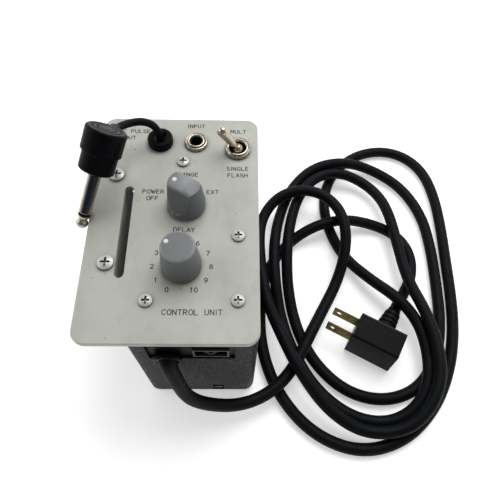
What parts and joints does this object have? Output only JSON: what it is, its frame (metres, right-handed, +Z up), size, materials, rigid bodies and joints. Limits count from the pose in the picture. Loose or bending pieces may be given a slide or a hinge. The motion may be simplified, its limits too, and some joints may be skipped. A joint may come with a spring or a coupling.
{
  "type": "flash delay control unit",
  "caption": "Small box with an overhanging control panel, two knobs, a toggle switch, a phone jack, a phone plug on a pigtail and a mains lead with a two-blade plug.",
  "frame": {"origin": "middle of the box and panel in plan, on the surface that the case stands on", "axes": "+X across the panel to the right, +Y along the panel away from the user, +Z up out of the panel"},
  "size_m": [0.2303, 0.2248, 0.1378],
  "materials": {
    "panel_paint": "satin grey-green enamel",
    "case_paint": "dark grey wrinkle enamel",
    "plate_paint": "dark grey enamel",
    "inner_steel": "dull plated steel",
    "screw_steel": "plated",
    "nickel": "worn bright nickel",
    "knob_plastic": "satin grey moulding",
    "black_plastic": "satin black moulding",
    "cord_jacket": "satin black jacket",
    "blade_brass": "dull brass",
    "laminate": "brown laminate",
    "contact_metal": "tinned",
    "transformer_iron": "varnished",
    "can_aluminium": "plain",
    "resistor_body": "gloss"
  },
  "bodies": {
    "case": {"front_panel": "panel_paint", "case_shell": "case_paint", "panel_screws": "screw_steel", "bracket_screws": "screw_steel", "mounting_bracket": "inner_steel", "standoffs": "screw_steel", "circuit_board": "laminate", "board_screws": "screw_steel", "power_transformer": "transformer_iron", "capacitors": "can_aluminium", "transistors": "can_aluminium", "resistors": "resistor_body", "connector_plate": "plate_paint", "case_catch": "inner_steel", "range_bushing": "nickel", "range_nut": "nickel", "range_switch_housing": "can_aluminium", "range_wafers": "laminate", "range_spacers": "screw_steel", "delay_bushing": "nickel", "delay_nut": "nickel", "delay_potentiometer": "can_aluminium", "potentiometer_lugs": "contact_metal", "jack_bushing": "nickel", "jack_nut": "nickel", "jack_frame": "inner_steel", "jack_insulators": "laminate", "jack_spring": "contact_metal", "toggle_bushing": "nickel", "toggle_nut": "nickel", "toggle_body": "inner_steel", "toggle_terminals": "contact_metal", "slide_switch_frame": "inner_steel", "slide_switch_body": "laminate", "mains_strain_relief": "black_plastic", "mains_cord": "cord_jacket", "mains_plug": "black_plastic", "plug_blades": "blade_brass", "signal_bushing": "black_plastic", "signal_cable": "cord_jacket", "phone_plug_tip": "nickel", "phone_plug_insulator": "black_plastic", "phone_plug_sleeve": "nickel", "phone_plug_cap": "black_plastic"},
    "range_knob": {"range_knob": "knob_plastic", "range_shaft": "nickel", "range_set_screw": "screw_steel"},
    "delay_knob": {"delay_knob": "knob_plastic", "delay_shaft": "nickel", "delay_set_screw": "screw_steel"},
    "toggle_lever": {"toggle_lever": "nickel"},
    "slide_switch": {"slide_switch_slider": "black_plastic"}
  },
  "joints": [
    {"name": "range_turn", "type": "hinge", "parent": "case", "child": "range_knob", "pos_m": [0.0058, 0.0081, 0.0965], "axis": [0, 0, 1], "range_deg": [-150, 30]},
    {"name": "delay_turn", "type": "hinge", "parent": "case", "child": "delay_knob", "pos_m": [0.0052, -0.0263, 0.0965], "axis": [0, 0, 1], "range_deg": [-218, 89]},
    {"name": "toggle_throw", "type": "hinge", "parent": "case", "child": "toggle_lever", "pos_m": [0.0314, 0.0438, 0.0966], "axis": [0, -1, 0], "range_deg": [-58.8, 0]},
    {"name": "slide_switch_travel", "type": "slide", "parent": "case", "child": "slide_switch", "axis": [1, 0, 0], "range_m": [-0.003, 0.003]}
  ]
}
